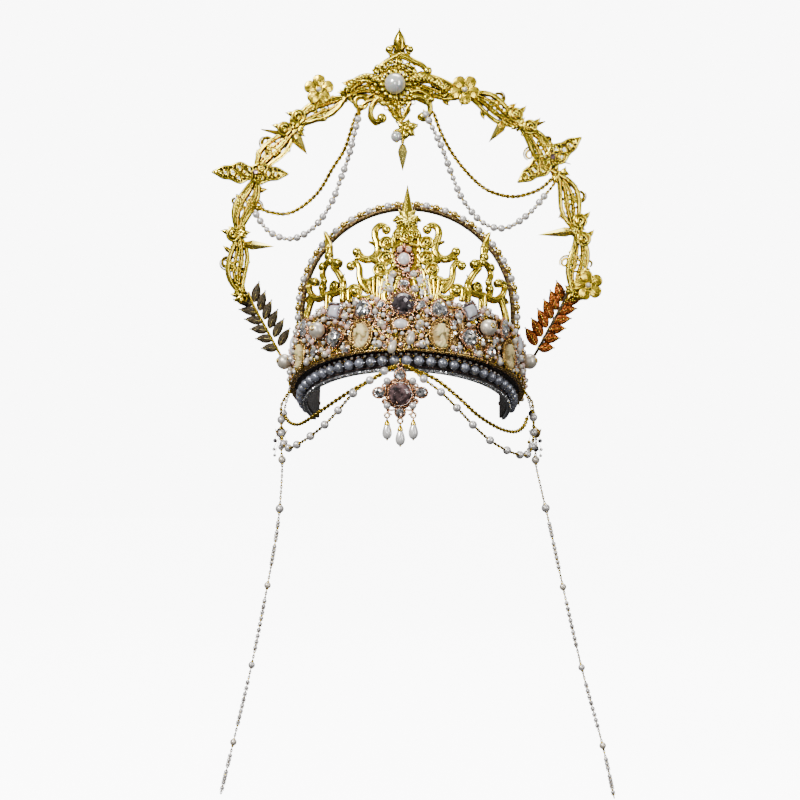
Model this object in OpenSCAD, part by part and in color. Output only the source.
// Halo crown: a jewelled head band with three scroll panels, a beaded arch and a standing vine halo.
// Millimetres. +Z is up, the front faces -Y, and the origin is the middle of the head band's oval.
// The band and all that stands on it are drawn level and then tipped back by band_tilt.

/* [Head band] */
// Half width of the band at its rim pearls
band_a = 86; // [84:0.5:88]
// Half depth of the band at its rim pearls
band_b = 98; // [96:0.5:100]
// Lift of the band's front, in degrees
band_tilt = 18; // [16:0.5:19]
// Reach of the band round each side, in degrees from the front
band_reach = 112; // [104:1:116]
// Height of the jewelled wall
wall_h = 39; // [36:1:40]
// Diameter of a rim pearl
rim_pearl_d = 8; // [7.6:0.1:8.2]

/* [Halo] */
// Radius of the halo's middle line
halo_r = 138; // [136:0.5:140]
// Height of the halo's centre over the origin
halo_z = 117; // [116:0.5:118]
// Half width of the vine where its stems spread
vine_w = 7.5; // [6.5:0.5:8]
// Radius of a vine stem
vine_stem_r = 1.5; // [1.4:0.05:1.6]

/* [Arch] */
// Radius of the beaded arch at its bead centres
arch_r = 89; // [88.5:0.25:89.5]
// Height of the arch's centre over the origin
arch_z = 70; // [69:0.5:71]
// Diameter of an arch bead
arch_bead_d = 6.2; // [6:0.1:6.4]

/* [Strings] */
// Diameter of a pearl in the halo's hanging strings
swag_pearl_d = 6; // [5.6:0.1:6.2]
// Diameter of a pearl in the brow strings
fringe_pearl_d = 6.6; // [6.2:0.1:6.8]
// Diameter of the thread through the pearls
thread_d = 0.8; // [0.7:0.05:0.9]
// Diameter of the fine gold chains
chain_d = 1.8; // [1.6:0.1:2]

/* [Hidden] */
$fn = 24;

gap = 0.3;                                    // clearance between neighbouring pieces
weld = 0.02;                                  // growth that joins the strokes of a casting
small_fn = 16;                                // sides of a small bore or wire
wall_t = 1.6;                                 // thickness of the filigree wall
wall_a = band_a + 7;                          // outer half width of the wall
wall_b = band_b + 6;                          // outer half depth of the wall
wall_low = rim_pearl_d / 2 + 2;               // lower edge of the wall over the pearl line
bezel_up = 0.5;                               // height of a bezel plate over the wall's face
bezel_lip = 2;                                // how much wider a bezel plate is than its stone
band_t = 2;                                   // thickness of the cloth band
band_low = -4.6;                                // lower edge of the cloth band
band_top = 24;                                // upper edge of the cloth band
band_out = rim_pearl_d / 2 + gap;             // from the pearl line in to the band's outer face
drill_d = thread_d + 1;                       // bore through a threaded pearl
gold = [0.83, 0.66, 0.22];
copper = [0.80, 0.50, 0.36];
pearl_white = [0.93, 0.91, 0.88];
crystal = [0.86, 0.89, 0.95];

// Vectors and routes
function unit(v) = v / norm(v);
function lerp(a, b, t) = a + (b - a) * t;
function seat_pt(p) = [p.x, p.y * cos(band_tilt) + p.z * sin(band_tilt),
    p.z * cos(band_tilt) - p.y * sin(band_tilt)];
function spline_at(p0, p1, p2, p3, t) = 0.5 * (2 * p1 + (p2 - p0) * t
    + (2 * p0 - 5 * p1 + 4 * p2 - p3) * t * t + (3 * p1 - p0 - 3 * p2 + p3) * t * t * t);
function smooth(pts, steps) = let (n = len(pts))
    [for (i = [0 : n - 2]) for (k = [0 : steps - 1])
        spline_at(pts[max(i - 1, 0)], pts[i], pts[i + 1], pts[min(i + 2, n - 1)], k / steps),
     pts[n - 1]];
function lengths(pts) = [for (i = 0, s = 0; i < len(pts);
    s = s + norm(pts[min(i + 1, len(pts) - 1)] - pts[i]), i = i + 1) s];
function at_length(pts, along, s) = let (
    i = max([for (k = [0 : len(pts) - 2]) if (k == 0 || along[k] <= s) k]))
    lerp(pts[i], pts[i + 1], (s - along[i]) / (along[i + 1] - along[i]));
function tangent(pts, i) = unit(pts[min(i + 1, len(pts) - 1)] - pts[max(i - 1, 0)]);

// The oval of the wall: angle t from the front, height h and distance out from its face
function yaw(t) = atan2(sin(t) / wall_a, cos(t) / wall_b);
function wall_pt(t, h, out) = [wall_a * sin(t) + out * sin(yaw(t)),
    -wall_b * cos(t) - out * cos(yaw(t)), h];
function oval_pt(t, a, b) = [a * sin(t), -b * cos(t)];
function oval_strip(a, b, thick, reach, steps) = concat(
    [for (i = [0 : steps]) oval_pt(-reach + 2 * reach * i / steps, a, b)],
    [for (i = [steps : -1 : 0]) oval_pt(-reach + 2 * reach * i / steps, a - thick, b - thick)]);
module seated() rotate([-band_tilt, 0, 0]) children();
module on_wall(t, h, out = bezel_up + gap) {
    translate(wall_pt(t, h, out)) rotate([0, 0, yaw(t)]) rotate([90, 0, 0]) children();
}

// A closed skin over rings that have the same number of points
module skin(rings) {
    n = len(rings[0]);
    last = len(rings) - 1;
    polyhedron(points = [for (r = rings) for (p = r) p], convexity = 6, faces = concat(
        [[for (j = [0 : n - 1]) j]],
        [for (i = [0 : last - 1]) for (j = [0 : n - 1])
            let (a = i * n + j, b = i * n + (j + 1) % n) [a, a + n, b + n]],
        [for (i = [0 : last - 1]) for (j = [0 : n - 1])
            let (a = i * n + j, b = i * n + (j + 1) % n) [a, b + n, b]],
        [[for (j = [n - 1 : -1 : 0]) last * n + j]]));
}

// A round stem along a route, with one radius or one for each point; ref is never along the route
function stem_ring(pts, i, r, sides, ref) = let (
    d = tangent(pts, i),
    side = unit(cross(d, ref)),
    up = cross(d, side))
    [for (j = [0 : sides - 1]) let (a = 360 * j / sides)
        pts[i] + r * cos(a) * side + r * sin(a) * up];
module stem(pts, radii, sides = 8) {
    skin([for (i = [0 : len(pts) - 1]) stem_ring(pts, i,
        is_list(radii) ? radii[i] : radii, sides, [0, 1, 0])]);
}
module round_stem(pts, r, sides = 8) {
    skin([for (i = [0 : len(pts) - 1])
        stem_ring(pts, i, r, sides, unit([pts[i].x, pts[i].y, 0]))]);
}

// Outlines of cut stones, half a unit wide
function round_outline(n) = [for (i = [0 : n - 1]) let (a = 360 * i / n) 0.5 * [cos(a), sin(a)]];
square_outline = [[0.5, -0.32], [0.5, 0.32], [0.32, 0.5], [-0.32, 0.5], [-0.5, 0.32],
    [-0.5, -0.32], [-0.32, -0.5], [0.32, -0.5]];
drop_outline = [for (i = [0 : 9]) let (a = 90 + 36 * i)
    0.5 * [cos(a) * (1 - 0.3 * sin(a)), sin(a)]];
function cut_ring(outline, w, h, z) = [for (p = outline) [p.x * w, p.y * h, z]];

// A cut stone: flat back, girdle, crown facets and table
module cut_stone(outline, w, h, deep) {
    skin([cut_ring(outline, 0.8 * w, 0.8 * h, 0), cut_ring(outline, w, h, 0.4 * deep),
        cut_ring(outline, 0.92 * w, 0.92 * h, 0.7 * deep),
        cut_ring(outline, 0.6 * w, 0.6 * h, deep)]);
}
module bead(d) {
    difference() {
        sphere(d = d);
        cylinder(d = drill_d, h = 2 * d, center = true, $fn = small_fn);
    }
}

// Turns the z axis of its child along v
module aim(v) {
    rotate([0, acos(v.z / norm(v)), atan2(v.y, v.x)]) children();
}
module beads_on(pts, spots, d) {
    along = lengths(pts);
    for (s = spots) {
        before = at_length(pts, along, s - d / 4);
        after = at_length(pts, along, s + d / 4);
        translate((before + after) / 2) aim(after - before) bead(d);
    }
}

// Head band: a cloth band with a ledge that carries the jewelled wall
ledge_h = 9;
ledge_t = 1.6;
band_steps = 56;
module base_band() color([0.16, 0.12, 0.10]) seated() {
    union() {
        translate([0, 0, band_low])
            linear_extrude(band_top - band_low)
                polygon(oval_strip(band_a - band_out, band_b - band_out, band_t,
                    band_reach, band_steps));
        translate([0, 0, ledge_h])
            linear_extrude(ledge_t)
                polygon(oval_strip(wall_a - wall_t - gap, wall_b - wall_t - gap,
                    wall_a - wall_t - gap - (band_a - band_out) + band_t / 2,
                    band_reach - 1, band_steps));
    }
}
trim_h = 2.6;
trim_t = 1.6;
module edge_trim() color([0.72, 0.74, 0.80]) seated()
    translate([0, 0, band_low - gap - trim_h])
        linear_extrude(trim_h)
            polygon(oval_strip(band_a - band_out, band_b - band_out, trim_t,
                band_reach - 3, band_steps));

// Rim pearls, an even number so that the middle falls between two of them
rim_pearl_count = 34;
rim_pearl_step = 2 * (band_reach - 6) / rim_pearl_count;
module rim_pearls() color([0.55, 0.56, 0.60]) seated()
    for (i = [0 : rim_pearl_count - 1]) {
        t = (i - (rim_pearl_count - 1) / 2) * rim_pearl_step;
        translate([band_a * sin(t), -band_b * cos(t), 0]) sphere(d = rim_pearl_d);
    }

// Jewelled wall: pierced filigree with a raised bezel for each large stone
wall_steps = 44;
hole_rows = [[12, 4.6], [25, 5.4], [38, 4.2]];   // height, half size of the pierced diamonds
hole_count = 26;
hole_corner_r = 0.4;
hole_deep = 8;
bezels = [                                        // angle, height, width, height of the stone
    [1, 43, 18, 18], [-31, 21, 12.5, 12.5], [31, 21, 12.5, 12.5],
    [-46, 18, 9, 9], [46, 18, 9, 9], [-18, 40, 12, 15.5], [18, 40, 12, 15.5],
    [-35, 44, 10.5, 10.5], [35, 44, 10.5, 10.5], [-56, 39, 9, 17], [56, 39, 9, 17]];
module diamond_hole(s) {
    linear_extrude(hole_deep, center = true) hull() {
        translate([0, s]) circle(hole_corner_r, $fn = 4);
        translate([s, 0]) circle(hole_corner_r, $fn = 4);
        translate([0, -s]) circle(hole_corner_r, $fn = 4);
        translate([-s, 0]) circle(hole_corner_r, $fn = 4);
    }
}
module bezel_plate(w, h) {
    translate([0, 0, -wall_t]) linear_extrude(wall_t + bezel_up)
        polygon([for (p = round_outline(12)) [p.x * (w + bezel_lip), p.y * (h + bezel_lip)]]);
}
module filigree_wall() color(copper) seated() {
    difference() {
        union() {
            translate([0, 0, wall_low]) linear_extrude(wall_h)
                polygon(oval_strip(wall_a, wall_b, wall_t, band_reach - 2, wall_steps));
            for (b = bezels) on_wall(b[0], b[1], 0) bezel_plate(b[2], b[3]);
        }
        for (row = [0 : len(hole_rows) - 1]) for (i = [0 : hole_count - 1]) {
            t = (i - (hole_count - 1) / 2 + (row % 2) / 2) * (2 * band_reach - 12) / hole_count;
            on_wall(t, hole_rows[row][0], 0) diamond_hole(hole_rows[row][1]);
        }
    }
}

// Cast metal: a flat body with a narrower raised face, from strokes and discs drawn in the plane
module stroke(pts, w0, w1) {
    n = len(pts) - 1;
    side = [for (i = [0 : n]) let (d = tangent(pts, i)) [-d.y, d.x] * lerp(w0, w1, i / n) / 2];
    for (i = [0 : n - 1])
        polygon([pts[i] + side[i], pts[i + 1] + side[i + 1],
            pts[i + 1] - side[i + 1], pts[i] - side[i]]);
    translate(pts[0]) circle(w0 / 2, $fn = 8);
    translate(pts[n]) circle(w1 / 2, $fn = 8);
}
module disc(x, y, r, sides = 10) translate([x, y]) circle(r, $fn = sides);
module casting(thick, relief, inset) {
    linear_extrude(thick) offset(delta = weld) children();
    translate([0, 0, thick / 2]) linear_extrude(thick / 2 + relief) offset(delta = -inset) children();
}
function spiral(c, r0, r1, a0, a1, n) = [for (i = [0 : n]) let (
    t = i / n, a = lerp(a0, a1, t), r = lerp(r0, r1, t)) [c[0] + r * cos(a), c[1] + r * sin(a)]];
module both_sides() {
    children();
    mirror([1, 0]) children();
}

// A plane that stands across the head: x across, y up, and z towards the front from its back
module upright(back) translate([0, back, 0]) rotate([90, 0, 0]) children();

// Scroll panels: flat castings behind the wall's upper edge, x along the wall and y up it
cast_t = 1.8;
cast_relief = 1;
cast_inset = 0.7;
centre_sag = 3;                                   // a flat panel's distance behind the curved wall
side_sag = 1;
left_mid = 43;                                    // angles of the side panels' middles
right_mid = 46;
centre_shift = 3;                                 // the middle panel stands a little to the right
panel_thick = cast_t + cast_relief;
module on_panel(mid, sag) {
    translate(wall_pt(mid, 0, -wall_t - gap - sag - panel_thick)) rotate([0, 0, yaw(mid)])
        rotate([90, 0, 0]) children();
}
upper_curl = smooth([[-15.9, 107], [-17.5, 110.5], [-21, 111.2], [-24.4, 108], [-24.8, 102.5], [-22.8, 96],
    [-22, 90]], 3);
horn = smooth([[-22, 90], [-24.5, 85.5], [-29, 83], [-34, 84], [-38.5, 88.5]], 3);
hook_scroll = smooth([[-43, 76.5], [-41.5, 79.5], [-38.5, 79.8], [-36.3, 75.5], [-36, 69.5], [-34, 63], [-29, 57]], 3);
lower_curl = concat([[-43.4, 49.4], [-44, 52]], spiral([-39, 56], 5.4, 2, 200, -200, 14));
crown_arc = smooth([[-9.5, 90], [-10, 98], [-8.5, 105], [-4, 109.5], [0, 110.8]], 3);
outer_rib = smooth([[-10, 32], [-13, 45], [-19, 58], [-20, 72], [-17, 82], [-15, 92]], 3);
module centre_outline() {
    both_sides() {
        stroke(upper_curl, 3.6, 4);
        stroke([[-22.5, 95.5], [-26, 96.5], [-29.3, 97.5]], 3.6, 0.8);
        stroke(horn, 4.2, 4.4);
        stroke([[-35, 84.2], [-39.8, 83]], 3, 1.2);
        stroke([[-27, 83.5], [-21, 80.5], [-16, 79]], 4, 4);
        stroke(hook_scroll, 3, 4.4);
        stroke(lower_curl, 3.6, 2.4);
        stroke([[-35, 66], [-29, 64.5], [-22, 68]], 3.2, 4);
        stroke([[-24, 54], [-25, 59], [-26.5, 66]], 8, 6);
        stroke([[-36, 51.5], [-30, 50.5], [-23, 53]], 3.4, 4);
        stroke(outer_rib, 7, 5);
        stroke(crown_arc, 3.2, 3.2);
        stroke([[-1, 116], [-6, 117.5], [-10.4, 115.4]], 6, 1.4);
        stroke([[-1, 117], [-3.6, 120], [-6, 123.4]], 5, 1.2);
        stroke([[0, 114], [-4.5, 111.8], [-8, 110.6]], 5, 1.4);
        for (f = [[-15.9, 107.2, 2.9], [-15.6, 95.7, 4.6], [-15.9, 83, 5.2], [-20, 73.3, 4.8], [-38.5, 88.5, 2.9],
                [-43, 76.8, 2.9], [-39, 56, 3.2]])
            disc(f[0], f[1], f[2]);
    }
    stroke([[0, 32], [0, 58], [0, 80], [0, 100]], 26, 18);
    disc(0, 101, 6);
    stroke([[0, 100], [0, 112], [0, 119]], 5, 8);
    stroke([[0, 119], [0, 131.5], [0, 144.7]], 7.4, 0.6);
    disc(0, 116.2, 5.8);
}
module panel_centre() color(gold) seated()
    on_panel(0, centre_sag) translate([centre_shift, 0])
        casting(cast_t, cast_relief, cast_inset) centre_outline();

// Side panel, drawn for the right side: its spike and its outer scroll lean away from the middle
side_inner = smooth([[-8, 84], [-13.5, 78], [-18, 71.5], [-21, 66], [-20, 60]], 3);
side_outer = smooth([[5, 88], [6, 82], [4, 76], [5.5, 70], [4, 64], [-3, 62]], 3);
side_curl = smooth([[3, 62.5], [10, 62.5], [16.5, 66], [21, 71], [22.5, 76.5], [19.5, 80.5], [14.5, 79]], 3);
side_leg = smooth([[17, 66.5], [21, 60], [23.3, 55], [24.6, 50.2]], 3);
module side_outline() {
    stroke([[-2.3, 92], [-2.2, 96], [-1.4, 102]], 3.6, 5.8);
    stroke([[-1.4, 102], [1, 110], [4, 118]], 5.8, 0.6);
    stroke([[-14, 85.5], [-9, 88.3], [-4, 90.2]], 3.6, 4);
    stroke([[-4, 90.2], [0, 90.2], [5, 88]], 4, 3.4);
    stroke(side_inner, 3.8, 4.2);
    stroke(side_outer, 3.4, 4);
    stroke(side_curl, 4, 3);
    stroke([[-9, 86.5], [-9, 83], [-9.5, 81.5]], 3, 3);
    stroke([[19, 68.5], [23, 66.2], [26.6, 64.5]], 3.6, 0.8);
    stroke([[-21, 62], [-15, 61], [-3, 62]], 3.6, 3.6);
    stroke([[-20, 61], [-20.8, 57], [-20.6, 53]], 4.2, 4);
    stroke([[-3, 62], [-3, 48], [-3, 34]], 6, 8);
    stroke(side_leg, 3.6, 4.6);
    for (f = [[-2.4, 95, 3], [-14, 85.5, 3.3], [-5, 89.5, 3.2], [4.8, 88, 3], [-10.5, 66.5, 5], [14, 77.6, 3],
            [4.5, 70, 2.8]])
        disc(f[0], f[1], f[2]);
}
module side_panel(side, mid) on_panel(side * mid, side_sag)
    casting(cast_t, cast_relief, cast_inset) mirror([side < 0 ? 1 : 0, 0]) side_outline();
module panel_left() color(gold) seated() side_panel(-1, left_mid);
module panel_right() color(gold) seated() side_panel(1, right_mid);

// Beaded arch, standing inside the wall's two sides
arch_y = 4;
arch_strip_t = 2.4;
arch_strip_w = 5;
arch_foot_x = wall_a - wall_t - 1.2;
arch_foot_z = 36;
arch_leg_z = 54;
arch_bead_count = 39;
arch_bead_reach = 97;
function arch_edge(r, flip) = [for (i = [0 : 36]) let (a = flip * (-90 + 5 * i))
    [r * sin(a), arch_z + r * cos(a)]];
module arch_strip() color([0.45, 0.33, 0.14]) {
    r_out = arch_r - arch_bead_d / 2 - gap / 2;
    r_in = r_out - arch_strip_t;
    foot_in = arch_foot_x - arch_strip_t;
    upright(arch_y + arch_strip_w / 2) linear_extrude(arch_strip_w)
        polygon(concat([[-arch_foot_x, arch_foot_z], [-r_out, arch_leg_z]], arch_edge(r_out, 1),
            [[r_out, arch_leg_z], [arch_foot_x, arch_foot_z], [foot_in, arch_foot_z],
            [r_in, arch_leg_z]], arch_edge(r_in, -1),
            [[-r_in, arch_leg_z], [-foot_in, arch_foot_z]]));
}
function arch_bead_pt(a) = abs(a) <= 90 ? [arch_r * sin(a), arch_y, arch_z + arch_r * cos(a)]
    : [arch_r * sign(a), arch_y, arch_z - arch_r * (abs(a) - 90) * PI / 180];
module arch_beads(first) {
    for (i = [first : 2 : arch_bead_count - 1])
        translate(arch_bead_pt((i / (arch_bead_count - 1) - 0.5) * 2 * arch_bead_reach))
            sphere(d = arch_bead_d);
}
module arch_beads_gold() color(gold) arch_beads(0);
module arch_beads_white() color(pearl_white) arch_beads(1);

// Halo: four vine stems that cross at knots, with roses, curls and thorns
halo_reach = 103;
vine_lanes = [-1, -0.36, 0.36, 1];
knot_step = 20.6;
vine_step = 3.433;
vine_t = 3.2;
vine_relief = 1;
vine_inset = 0.6;
rose_r = 5;
rose_mid_r = 3.2;
rose_bud_r = 1.6;
vine_end_r = 4.4;
vine_back = vine_t / 2;
vine_front = -vine_t / 2 - vine_relief;
function halo_pt(phi, r) = [(halo_r + r) * sin(phi), halo_z + (halo_r + r) * cos(phi)];
function vine_pt(phi, lane) = halo_pt(phi, vine_w * lane * sin(180 * phi / knot_step)
    + 1.6 * sin(360 * phi / knot_step));
roses = [[-44, 5], [-38, 5], [-83, 4], [38, 5], [44, 5], [79, 4], [85, 5]]; // angle, offset
thorns = [[-46, 5, -49, 19], [44, 6, 46, 17]];
module vine_curl(phi, side) {
    stroke([for (i = [0 : 10]) let (a = 32 * i, p = halo_pt(phi, vine_w + 1.5))
        p + (4.4 - 0.25 * i) * [cos(a * side - phi), sin(a * side - phi)]], 2.2, 1.6);
}
module vine_outline() {
    for (lane = vine_lanes)
        stroke([for (phi = [-halo_reach : vine_step : halo_reach + 0.1]) vine_pt(phi, lane)],
            2 * vine_stem_r, 2 * vine_stem_r);
    for (k = [-5 : 4])
        stroke([halo_pt((k + 0.4) * knot_step, -vine_w * 0.9),
            halo_pt((k + 0.5) * knot_step, vine_w)], 1.8, 1.8);
    for (c = [[-51, 1], [-72, -1], [-92, 1], [30, 1], [51, -1], [71, 1], [93, -1]])
        vine_curl(c[0], c[1]);
    for (t = thorns)
        stroke([halo_pt(t[0], t[1]), halo_pt((t[0] + t[2]) / 2, (t[1] + t[3]) / 2),
            halo_pt(t[2], t[3])], 4.4, 0.7);
    for (r = roses) translate(halo_pt(r[0], r[1])) circle(rose_r, $fn = 10);
    for (s = [-1, 1]) translate(halo_pt(s * halo_reach, 0)) circle(vine_end_r, $fn = 10);
}
module halo_vine() color(gold) {
    union() {
        upright(vine_back) casting(vine_t, vine_relief, vine_inset) vine_outline();
        for (r = roses) upright(vine_back) translate(halo_pt(r[0], r[1])) {
            cylinder(r = rose_mid_r, h = vine_t + vine_relief + 1.2, $fn = 8);
            cylinder(r = rose_bud_r, h = vine_t + vine_relief + 2, $fn = 6);
        }
    }
}

// Medallion at the top of the halo, with a fleur-de-lis, scroll arms and a lower cross
medal_x = -9;
medal_z = 254.5;
medal_r = 16.5;
medal_back = vine_front - gap;
medal_t = 2;
medal_relief = 1;
medal_front = medal_back - medal_t - medal_relief;
medal_pearl_d = 16;
pearl_seat_r = 6;
medal_holes = 12;
medal_balls = 16;
arm_left = smooth([[-12, 2], [-22, 7], [-32, 4], [-40, -4]], 3);
hook_left = smooth([[-12, -8], [-18, -16], [-21, -25], [-16, -31], [-10, -28]], 3);
arm_right = smooth([[12, 4], [22, 5], [32, 1], [40, -5]], 3);
hook_right = smooth([[12, -8], [20, -12], [28, -17], [27, -25], [20, -27]], 3);
module fleur() {
    stroke([[1, 14], [2, 20], [3, 25]], 7, 4);
    stroke([[-4, 24], [3, 24], [10, 24]], 3, 3);
    stroke([[3, 25], [3, 32], [2.6, 44]], 8, 0.8);
    stroke(spiral([-3.4, 29], 3.8, 1.4, -40, 200, 8), 2.8, 1.8);
    stroke(spiral([9.4, 29], 3.8, 1.4, 220, -20, 8), 2.8, 1.8);
    disc(-12, 13, 3.4);
    disc(13, 12, 3.4);
}
module lower_cross() {
    stroke([[1, -14], [3, -26], [6, -38], [5.6, -47]], 6, 2.6);
    stroke([[-5, -20], [1, -26], [3, -30]], 3, 2.4);
    stroke([[11, -20], [7, -26], [4, -30]], 3, 2.4);
    stroke([[5, -33], [12, -32], [17, -33]], 5, 2.4);
    stroke([[4, -36], [-1, -38], [1, -43]], 3, 2.6);
    disc(9.5, -36, 4.4);
    disc(1, -42.5, 2.8);
}
module medallion_outline() {
    difference() {
        union() {
            circle(medal_r, $fn = 32);
            for (i = [1 : medal_balls]) rotate(360 * i / medal_balls) disc(medal_r - 0.4, 0, 2, 8);
            for (arm = [arm_left, arm_right, hook_left, hook_right]) stroke(arm, 4.6, 2.6);
            disc(-16, -30, 2.8);
            disc(20, -26, 2.8);
            fleur();
            lower_cross();
        }
        for (i = [0 : medal_holes - 1]) rotate(360 * i / medal_holes) disc(12.2, 0, 1.7, 8);
        circle(pearl_seat_r, $fn = 24);
    }
    difference() {
        disc(-28, -14, 5.2, 16);
        disc(-28, -14, 2.8, 12);
    }
    stroke([[-24, -11], [-18, -7], [-14, -6]], 2.4, 3);
}
module halo_medallion() color(gold)
    translate([medal_x, 0, medal_z]) upright(medal_back)
        casting(medal_t, medal_relief, vine_inset) medallion_outline();
module medallion_pearl() color(pearl_white)
    translate([medal_x, medal_front - sqrt(pow(medal_pearl_d / 2 + gap, 2)
        - pow(pearl_seat_r, 2)), medal_z]) sphere(d = medal_pearl_d);
drop_pearl_d = 9;
drop_pearl_down = 42.5;
cross_foot = [5.6, 48.3];                         // the lower cross's tip, across and down
drop_spike_len = 21;
module drop_pearl() color(pearl_white)
    translate([medal_x + 1, medal_front - gap - drop_pearl_d / 2, medal_z - drop_pearl_down])
        sphere(d = drop_pearl_d);

// A long faceted spike from base to tip, flat at the back, with a ridge along its front
spike_section = [[0.5, 0], [0.42, 0.4], [0.14, 1], [-0.14, 1], [-0.42, 0.4], [-0.5, 0]];
function spike_ring(c, w, deep, d) = let (side = [-d.z, 0, d.x])
    [for (q = spike_section) c + w * q[0] * side - [0, deep * q[1], 0]];
module spike(base, tip, w, deep) {
    d = unit(tip - base);
    skin([spike_ring(base, 0.4 * w, 0.4 * deep, d), spike_ring(lerp(base, tip, 0.22), w, deep, d),
        spike_ring(lerp(base, tip, 0.6), 0.6 * w, 0.6 * deep, d),
        spike_ring(tip, 0.06 * w, 0.06 * deep, d)]);
}
module drop_spike() color(gold) {
    y = medal_back;
    x = medal_x + cross_foot[0];
    top = medal_z - cross_foot[1] - gap;
    spike([x, y, top], [x, y, top - drop_spike_len], 5.4, 3);
}
spike_w = 9;
spike_deep = 5;
halo_spike_list = [                               // angle and offset of the base and of the tip
    [-43, -2.6, -38, -20], [-86, -5.4, -86, -30], [40, -2, 36, -26], [82, -0.8, 81.5, -31]];
module halo_spikes() color(gold)
    for (s = halo_spike_list) {
        a = halo_pt(s[0], s[1]);
        b = halo_pt(s[2], s[3]);
        y = vine_front - gap;
        spike([a.x, y, a.y], [b.x, y, b.y], spike_w, spike_deep);
    }

// Wings: pierced lozenges in front of the vine
wing_t = 2;
wing_relief = 0.8;
wing_inset = 0.5;
wing_points = [[0, 5], [8, 8.5], [16, 5.5], [22, 4.8], [27, 2], [30, 0.4]];
wing_holes = [[0, 3, 1.6], [4, 0, 1.3], [9, 4, 1.7], [9, -4, 1.7], [14, 0, 1.9], [20, 0, 1.6],
    [24.6, 0, 0.8]];
module wing_outline() {
    difference() {
        polygon(concat([for (q = wing_points) [q[0], q[1]]],
            [for (i = [5 : -1 : 0]) [wing_points[i][0], -wing_points[i][1]]],
            [for (i = [1 : 5]) [-wing_points[i][0], -wing_points[i][1]]],
            [for (i = [5 : -1 : 1]) [-wing_points[i][0], wing_points[i][1]]]));
        both_sides() for (q = wing_holes) disc(q[0] + 1, q[1], q[2], 8);
    }
}
module wing(x, z, turn)
    translate([x, 0, z]) upright(vine_front - gap) rotate(turn)
        casting(wing_t, wing_relief, wing_inset) wing_outline();
module wing_left() color(gold) wing(-127, 184, -2);
module wing_right() color(gold) wing(115, 193, 35);

// Flowers: five round petals and a small pearl
flower_t = 1.2;
petal_r = 4.2;
petal_out = 5.2;
eye_r = 3.4;
eye_t = 1.8;
flower_pearl_d = 4.4;
module flower(x, z, turn) {
    translate([x, 0, z]) upright(vine_front - gap) rotate(turn) {
        union() {
            cylinder(r = eye_r, h = eye_t);
            for (i = [0 : 4]) rotate(72 * i) translate([petal_out, 0, 0])
                cylinder(r = petal_r, h = flower_t);
        }
        translate([0, 0, eye_t + gap + flower_pearl_d / 2]) sphere(d = flower_pearl_d);
    }
}
module flower_left() color(gold) flower(-71, 251, 18);
module flower_right() color(gold) flower(47, 250, 54);
module flower_end() color(gold) flower(146, 92, 30);

// Laurel branches behind the halo's ends, down to the wall's sides
laurel_t = 2;
laurel_back = vine_back + gap + laurel_t;
laurel_relief = 0.6;
laurel_inset = 0.7;
leaf_len = 13;
laurel_stem = [[-130, 88], [-125, 76], [-114, 56], [-103, 36], [-97, 29], [-wall_a - 1.4, 28]];
module leaf(x, y, tilt, len, w) {
    translate([x, y]) rotate(tilt) polygon([[-2, -0.8], [0.25 * len, -0.42 * w],
        [0.55 * len, -0.5 * w], [0.85 * len, -0.22 * w], [len, 0], [0.85 * len, 0.22 * w],
        [0.55 * len, 0.5 * w], [0.25 * len, 0.42 * w], [-2, 0.8]]);
}
leaf_rows = 7;
module laurel_outline(leaf_w) {
    stroke(smooth(laurel_stem, 3), 2.6, 2);
    for (i = [0 : leaf_rows - 1]) {
        t = 0.16 + 0.62 * i / (leaf_rows - 1);
        p = lerp([-129, 85], [-99, 31], t);
        leaf(p.x, p.y, 152 + 3 * i, leaf_len * (1.05 - 0.03 * i), leaf_w);
        leaf(p.x + 1, p.y + 3, 86 - 4 * i, leaf_len * 1.1, leaf_w);
    }
}
module laurel_left() color([0.30, 0.26, 0.16])
    upright(laurel_back) casting(laurel_t - laurel_relief, laurel_relief, laurel_inset)
        laurel_outline(5.4);
module laurel_right() color([0.72, 0.32, 0.12])
    upright(laurel_back) casting(laurel_t - laurel_relief, laurel_relief, laurel_inset)
        mirror([1, 0]) laurel_outline(6.2);

// Cameos: gold mount, oval shell and a raised bust in profile
cameo_w = 18;
cameo_h = 24.5;
mount_t = 1.6;
shell_t = 1.4;
bust_up = 0.9;
hair_up = 1.5;
function oval(w, h, n) = [for (i = [0 : n - 1]) let (a = 360 * i / n)
    [w / 2 * cos(a), h / 2 * sin(a)]];
module cameo_profile() {
    polygon([[-1.2, 7.4], [1.6, 7.6], [3.2, 5.8], [3.3, 4.4], [4.6, 2.7], [3.6, 2.3], [3.8, 1.4],
        [3.4, 0.8], [3.3, -0.4], [1.4, -1.2], [1.2, -3.4], [5, -6], [5.4, -7.6], [-5.4, -7.6],
        [-5, -5.4], [-1.9, -3.4], [-2.2, 0]]);
}
module cameo_hair() {
    disc(-2.6, 5, 3.2);
    disc(0.2, 7.4, 2);
    disc(-5, 2.2, 2);
    disc(-3.4, -0.4, 1.6);
}
module cameo(face) {
    linear_extrude(mount_t) polygon(oval(cameo_w + 2, cameo_h + 2, 20));
    linear_extrude(mount_t + shell_t) polygon(oval(cameo_w - 0.6, cameo_h - 0.6, 20));
    mirror([face < 0 ? 1 : 0, 0, 0]) {
        translate([0, 0, mount_t]) linear_extrude(shell_t + bust_up) offset(delta = weld)
            cameo_profile();
        translate([0, 0, mount_t]) linear_extrude(shell_t + hair_up) offset(delta = weld)
            cameo_hair();
    }
}
module cameo_front_left() color([0.85, 0.76, 0.58]) seated() on_wall(-18.7, 20) cameo(-1);
module cameo_front_right() color([0.85, 0.76, 0.58]) seated() on_wall(18.7, 20) cameo(1);
module cameo_side_left() color([0.85, 0.76, 0.58]) seated() on_wall(-60, 20) cameo(-1);
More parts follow.
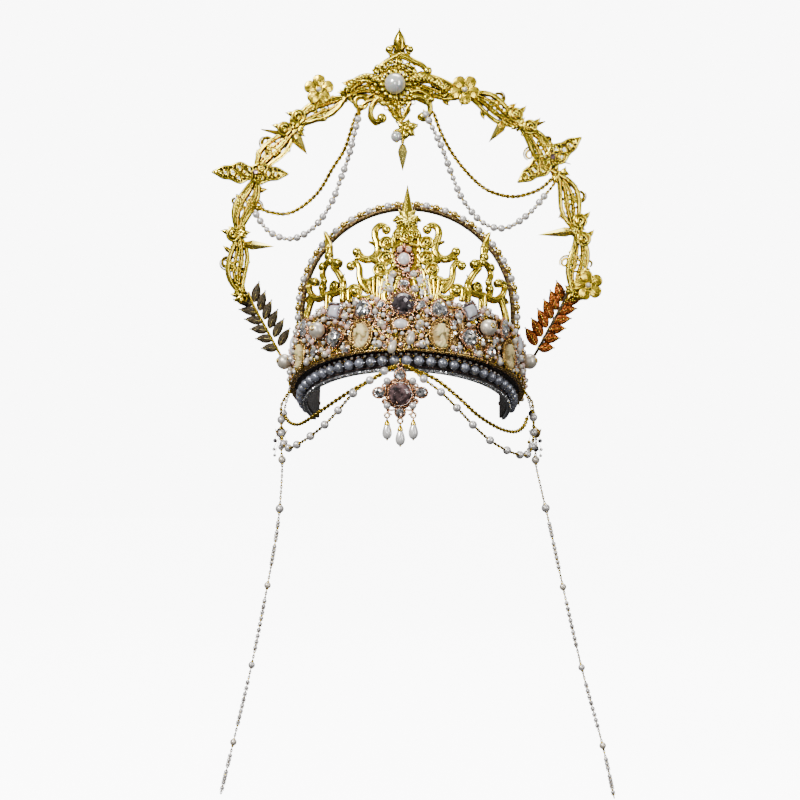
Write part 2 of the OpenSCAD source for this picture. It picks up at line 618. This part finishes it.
module cameo_side_right() color([0.85, 0.76, 0.58]) seated() on_wall(60, 20) cameo(1);

// Stones and pearls of the wall
module smoky_gem() color([0.24, 0.20, 0.22]) seated()
    on_wall(1, 43) cut_stone(round_outline(12), 18, 18, 6.5);
module pair(t, h, out = bezel_up + gap) for (s = [-1, 1]) on_wall(s * t, h, out) children();
module oval_crystals() color(crystal) seated()
    pair(18, 41) cut_stone(drop_outline, 12.5, 15, 5.5);
module square_crystals() color(crystal) seated() {
    pair(33, 21) rotate(45) cut_stone(square_outline, 12, 12, 5);
    pair(46, 15) rotate(45) cut_stone(square_outline, 8, 8, 4);
}
module moonstones() color([0.80, 0.80, 0.82]) seated()
    pair(34, 44) rotate(8) cut_stone(square_outline, 10.5, 10.5, 4);
module drop_crystals() color(crystal) seated()
    pair(56, 40) cut_stone(drop_outline, 8.5, 16, 4.5);
module on_centre(x, h) on_panel(0, centre_sag)
    translate([x, h, panel_thick + gap]) children();
module opal_top() color([0.88, 0.86, 0.84]) seated()
    on_centre(1.3, 82.4) cut_stone(round_outline(12), 9.4, 10.4, 4);

module shell_opal() color([0.88, 0.86, 0.84]) seated()
    on_wall(0, 27) cut_stone(round_outline(12), 11.5, 8.5, 4);
large_pearl_d = 12.6;
module large_pearls() color(pearl_white) seated() {
    for (q = [[-41.5, 30], [41.5, 32], [-81, 27], [81, 27]])
        on_wall(q[0], q[1], gap + large_pearl_d / 2) sphere(d = large_pearl_d);
}
module long_cabochons() color([0.90, 0.90, 0.88]) seated()
    pair(73, 36) cut_stone(oval(1, 1, 10), 6.4, 17, 4);
small_list = [[9.6, 43, 6.8], [25, 31, 5], [50, 27, 5], [69, 20, 6], [26, 9.5, 5]];
module small_crystals() color(crystal) seated() {
    for (q = small_list) pair(q[0], q[1]) cut_stone(round_outline(10), q[2], q[2], 3.2);
    on_centre(1.7, 61.7) cut_stone(round_outline(10), 7.6, 7.6, 3.4);
}
cluster_list = [[9, 27, 6], [10, 10.5, 6], [27, 37, 5], [38.5, 10, 5.4], [48, 35, 5],
    [52, 9.5, 5.4], [65, 34, 5], [73, 24.5, 5.6], [76, 15, 5.4], [90, 30, 5.6], [92, 18, 5],
    [66, 43, 5]];                                 // angle, height and diameter
panel_pearl_list = [[-6.8, 69.1, 5.4], [9, 69.1, 5.4], [-2, 89.6, 4.6], [5.2, 89.6, 4.6],
    [-8.6, 56.5, 6], [10.2, 56.8, 6]];
module cluster_pearls() color(pearl_white) seated() {
    for (q = cluster_list) pair(q[0], q[1], gap + q[2] / 2) sphere(d = q[2]);
    for (q = panel_pearl_list)
        on_centre(q[0], q[1]) translate([0, 0, q[2] / 2]) sphere(d = q[2]);
}

// A pearl drop: a ball below a cone, turned as one
module pearl_drop(d, len) {
    rotate_extrude() polygon(concat([[0, 0]],
        [for (a = [-80 : 20 : 20]) [d / 2 * cos(a), d / 2 + d / 2 * sin(a)]],
        [[d * 0.34, d * 0.85], [d * 0.14, len - 0.6], [0, len]]));
}
wall_drop_d = 6.4;
wall_drop_len = 12;
wall_drops = [[4.8, 15, -14], [-3.4, 8, -22]];    // angle, height and slant
module pearl_drops() color(pearl_white) seated() {
    for (q = wall_drops)
        on_wall(q[0], q[1], gap + 0.1 + wall_drop_d / 2)
            rotate([-90, 0, q[2]]) pearl_drop(wall_drop_d, wall_drop_len);
}

// Strings that hang in the halo: chain and pearl routes chosen by hand, across, depth and height
swag_chain_pts_left = [[-38, -7.2, 236], [-43, -7.2, 224], [-50, -7, 203], [-60, -7, 187],
    [-71, -6, 169], [-84, -6, 157], [-97, -5, 151], [-110, -5, 152], [-120, -4.5, 156],
    [-127, -3.8, 161]];
swag_chain_pts_right = [[22, -7.2, 231], [28, -7.2, 215], [36, -7, 200], [48, -7, 184],
    [62, -6, 171], [76, -6, 165], [90, -5, 164], [106, -5, 169], [116, -4.5, 177],
    [121, -3.8, 183]];
swag_pts_left = [[-36.5, -6.7, 236], [-38, -10, 230], [-40, -11, 222], [-46, -11, 198],
    [-53, -11, 178], [-61, -11, 158], [-75, -11, 139], [-93, -11, 130], [-111, -10, 136],
    [-123, -9, 152], [-127, -7, 157], [-128, -3.4, 158]];
swag_pts_right = [[14, -6.7, 233], [16, -10.6, 229], [20, -12, 221], [29, -12, 202],
    [37, -12, 180], [46, -12, 160], [62, -12, 142], [80, -12, 138], [98, -11, 149],
    [112, -10, 165], [119, -7, 174], [122, -3.4, 178]];
route_steps = 3;
swag_chain_steps = 2;
pair_count = 8;
pair_first_left = 14;
pair_first_right = 8;
pair_step = 21;
pair_half = swag_pearl_d / 2 + 0.1;
swag_route_left = smooth(swag_pts_left, route_steps);
swag_route_right = smooth(swag_pts_right, route_steps);
function pair_spots(first, step) = [for (k = [0 : pair_count - 1]) for (s = [-1, 1])
    first + step * k + s * pair_half];
module swag_chain_left() color(gold)
    stem(smooth(swag_chain_pts_left, swag_chain_steps), chain_d / 2);
module swag_chain_right() color(gold)
    stem(smooth(swag_chain_pts_right, swag_chain_steps), chain_d / 2);
module swag_thread_left() color(gold) stem(swag_route_left, thread_d / 2);
module swag_thread_right() color(gold) stem(swag_route_right, thread_d / 2);
module swag_pearls_left() color(pearl_white)
    beads_on(swag_route_left, pair_spots(pair_first_left, pair_step), swag_pearl_d);
module swag_pearls_right() color(pearl_white)
    beads_on(swag_route_right, pair_spots(pair_first_right, pair_step + 1), swag_pearl_d);

// Strings over the brow: routes chosen by hand, round the front to each side
fringe_chain_pts_left = [[-3, -98, 26], [-14, -96, 20], [-27, -94, 13], [-40, -89, 6],
    [-56, -80, -4], [-70, -68, -13], [-82, -53, -19], [-91, -37, -18], [-97, -21, -13]];
fringe_chain_pts_right = [[3, -98, 26], [13, -96, 22], [28, -94, 15], [45, -86, 1],
    [59, -77, -12], [75, -61, -22], [87, -44, -25], [94, -30, -21], [97, -20, -14]];
fringe_pts_left = [[-7, -99, 25.5], [-12, -101, 22], [-23, -101, 15], [-36, -98, 5],
    [-48, -92, -8], [-59, -85, -19], [-71, -75, -28], [-83, -61, -35], [-91, -48, -38],
    [-97, -31, -35], [-100, -18, -27], [-101, -12, -16], [-101, -10, -4], [-95, -8, 7]];
fringe_pts_right = [[7, -99, 25.5], [18, -101, 16], [31, -100, 6], [43, -95, -6], [55, -88, -19],
    [68, -78, -31], [81, -64, -39], [91, -47, -43], [97, -31, -43], [101, -19, -37],
    [102, -12, -26], [102, -10, -14], [101, -9, -2], [95, -8, 7]];
fringe_route_left = smooth(fringe_pts_left, route_steps);
fringe_route_right = smooth(fringe_pts_right, route_steps);
function fringe_spots(route) = let (along = lengths(route))
    [for (i = [1 : len(fringe_pts_left) - 2]) along[i * route_steps]];
module fringe_chain_left() color(gold)
    round_stem(smooth(fringe_chain_pts_left, route_steps), chain_d / 2);
module fringe_chain_right() color(gold)
    round_stem(smooth(fringe_chain_pts_right, route_steps), chain_d / 2);
module fringe_thread_left() color(gold) round_stem(fringe_route_left, thread_d / 2);
module fringe_thread_right() color(gold) round_stem(fringe_route_right, thread_d / 2);
module fringe_pearls_left() color(pearl_white)
    beads_on(fringe_route_left, fringe_spots(fringe_route_left), fringe_pearl_d);
module fringe_pearls_right() color(pearl_white)
    beads_on(fringe_route_right, fringe_spots(fringe_route_right), fringe_pearl_d);

// Long side strands: one string each, which swells at its beads and runs of seed beads
strand_pts_left = [[-94, 3, 9], [-99, 3, -3], [-103, 3, -28], [-102, 3, -52], [-103, 3, -75],
    [-106, 3, -105], [-114, 3, -151], [-127, 3, -216], [-142, 3, -279], [-152, 3, -320]];
strand_pts_right = [[94, 3, 9], [99, 3, -3], [104, 3, -28], [104, 3, -50], [108, 3, -70],
    [115, 3, -100], [126, 3, -151], [141, 3, -216], [158, 3, -279], [167, 3, -320]];
strand_beads = [[-11, 6], [-27, 8], [-39, 5], [-49, 6.6], [-88, 7], [-151, 5.6], [-216, 5.6],
    [-279, 5.6]];                                 // height and diameter
seed_d = 3.8;
wire_d = 1.4;
seed_runs = [[-100, -136], [-163, -202], [-228, -266], [-291, -322]];
tube_step = 10;
bead_rings = [-0.97, -0.6, 0, 0.6, 0.97];
function at_z(pts, z, i = 0) = i >= len(pts) - 2 || pts[i + 1].z <= z
    ? lerp(pts[i], pts[i + 1], (pts[i].z - z) / (pts[i].z - pts[i + 1].z)) : at_z(pts, z, i + 1);
function in_seeds(z) = len([for (s = seed_runs) if (z <= s[0] && z >= s[1]) 1]) > 0;
strand_tops = concat([strand_pts_left[0].z], [for (b = strand_beads) b[0] - b[1] / 2]);
strand_ends = concat([for (b = strand_beads) b[0] + b[1] / 2], [-320]);
strand_rings = [for (i = [0 : len(strand_tops) - 1]) each concat(
    let (n = max(1, ceil((strand_tops[i] - strand_ends[i]) / tube_step)))
        [for (k = [0.1 : n - 0.1]) let (z = lerp(strand_tops[i], strand_ends[i], k / n))
            [z, (in_seeds(z) ? seed_d : wire_d) / 2]],
    i < len(strand_beads) ? [for (q = bead_rings) [strand_beads[i][0] - q * strand_beads[i][1] / 2,
        max(wire_d, strand_beads[i][1] * sqrt(1 - q * q)) / 2]] : [[-320, seed_d / 2]])];
module strand(pts) {
    route = smooth(pts, route_steps);
    stem([for (r = strand_rings) at_z(route, r[0])], [for (r = strand_rings) r[1]]);
}
module strand_left() color(pearl_white) strand(strand_pts_left);
module strand_right() color(pearl_white) strand(strand_pts_right);

// Brow pendant: a hook ring on the band, and a frame that swings on it
hook_r = 2.4;
ring_wire_r = 0.5;
bail_r = 1.9;
hook_local = [0, -band_b - 5.2, -3];
hook_bar_low = 1.9;
hook_pt = seat_pt(hook_local);
bail_drop = hook_r + bail_r - 2 * ring_wire_r - 0.25;
module ring(r) rotate_extrude() translate([r, 0]) circle(ring_wire_r, $fn = small_fn);
module pendant_hook() color(gold) seated() {
    bar_end = -band_b + band_out - gap;
    union() {
        translate(hook_local) rotate([0, 90, 0]) ring(hook_r);
        translate([0, bar_end, hook_local.z - hook_bar_low]) rotate([90, 0, 0])
            cylinder(r = ring_wire_r, h = bar_end - hook_local.y - hook_r * 0.6);
    }
}
pendant_t = 1.6;
pendant_top_z = -10.4;                            // heights below the hinge line
pendant_gem_z = -24.5;
pendant_end_z = -38.5;
pendant_pearl_spots = [[9.8, -14.6], [9.8, -33.4]];
pendant_drop_spots = [[-10, -55.2], [0, -59.4], [10, -55.2]];
pendant_pearl_d = 4.8;
pendant_side_x = 16;
module pendant_plane(back)
    translate([0, hook_pt.y + back, hook_pt.z]) rotate([90, 0, 0]) children();
module pendant_outline() {
    disc(0, pendant_top_z, 5.1, 16);
    disc(0, pendant_gem_z, 10.4, 24);
    disc(0, pendant_end_z, 4.6, 16);
    both_sides() {
        disc(pendant_side_x, pendant_gem_z + 1, 5.4, 16);
        stroke([[8, pendant_gem_z + 2], [12, pendant_gem_z + 1]], 3, 3);
        for (q = pendant_pearl_spots) disc(q[0], q[1], 2.8, 12);
        stroke([[9.8, -33.4], [10.2, -38], [10, -41]], 2, 1.6);
    }
    both_sides() for (q = pendant_pearl_spots)
        stroke([[0, pendant_gem_z], [q[0], q[1]]], 3, 3);
    stroke([[0, -38], [0, -45]], 2, 1.6);
}
module pendant_frame() color(copper)
    union() {
        pendant_plane(pendant_t / 2) {
            linear_extrude(pendant_t) offset(delta = weld) pendant_outline();
            translate([0, pendant_top_z + 5.6, pendant_t / 2])
                cube([1.4, 1.6, 1], center = true);
        }
        translate([0, hook_pt.y, hook_pt.z - bail_drop]) rotate([90, 0, 0]) ring(bail_r);
    }
pendant_face = -pendant_t / 2 - 0.2;
module pendant_gem() color([0.45, 0.33, 0.34])
    pendant_plane(pendant_face) translate([0, pendant_gem_z, 0])
        cut_stone(round_outline(12), 18, 18, 6);
module pendant_crystals() color(crystal)
    pendant_plane(pendant_face) {
        translate([0, pendant_top_z, 0]) cut_stone(round_outline(10), 8.4, 8.4, 3.4);
        translate([0, pendant_end_z, 0]) cut_stone(round_outline(10), 7.4, 7.4, 3.2);
        for (s = [-1, 1]) translate([pendant_side_x * s, pendant_gem_z + 1, 0])
            cut_stone(round_outline(10), 9.2, 7.6, 3.2);
    }
module pendant_pearls() color(pearl_white)
    union() {
        pendant_plane(pendant_face) for (q = pendant_pearl_spots) for (s = [-1, 1])
            translate([s * q[0], q[1], pendant_pearl_d / 2]) sphere(d = pendant_pearl_d);
        translate([0, hook_pt.y, hook_pt.z]) for (q = pendant_drop_spots)
            translate([q[0], 0, q[1]]) pearl_drop(6.8, 13);
    }

base_band();
edge_trim();
filigree_wall();
rim_pearls();
panel_centre();
panel_left();
panel_right();
arch_strip();
arch_beads_gold();
arch_beads_white();
halo_vine();
halo_medallion();
medallion_pearl();
drop_pearl();
drop_spike();
wing_left();
wing_right();
flower_left();
flower_right();
flower_end();
halo_spikes();
laurel_left();
laurel_right();
cameo_front_left();
cameo_front_right();
cameo_side_left();
cameo_side_right();
smoky_gem();
oval_crystals();
square_crystals();
moonstones();
drop_crystals();
opal_top();
shell_opal();
large_pearls();
long_cabochons();
small_crystals();
cluster_pearls();
pearl_drops();
swag_chain_left();
swag_chain_right();
swag_thread_left();
swag_thread_right();
swag_pearls_left();
swag_pearls_right();
fringe_chain_left();
fringe_chain_right();
fringe_thread_left();
fringe_thread_right();
fringe_pearls_left();
fringe_pearls_right();
strand_left();
strand_right();
pendant_hook();
pendant_frame();
pendant_gem();
pendant_crystals();
pendant_pearls();
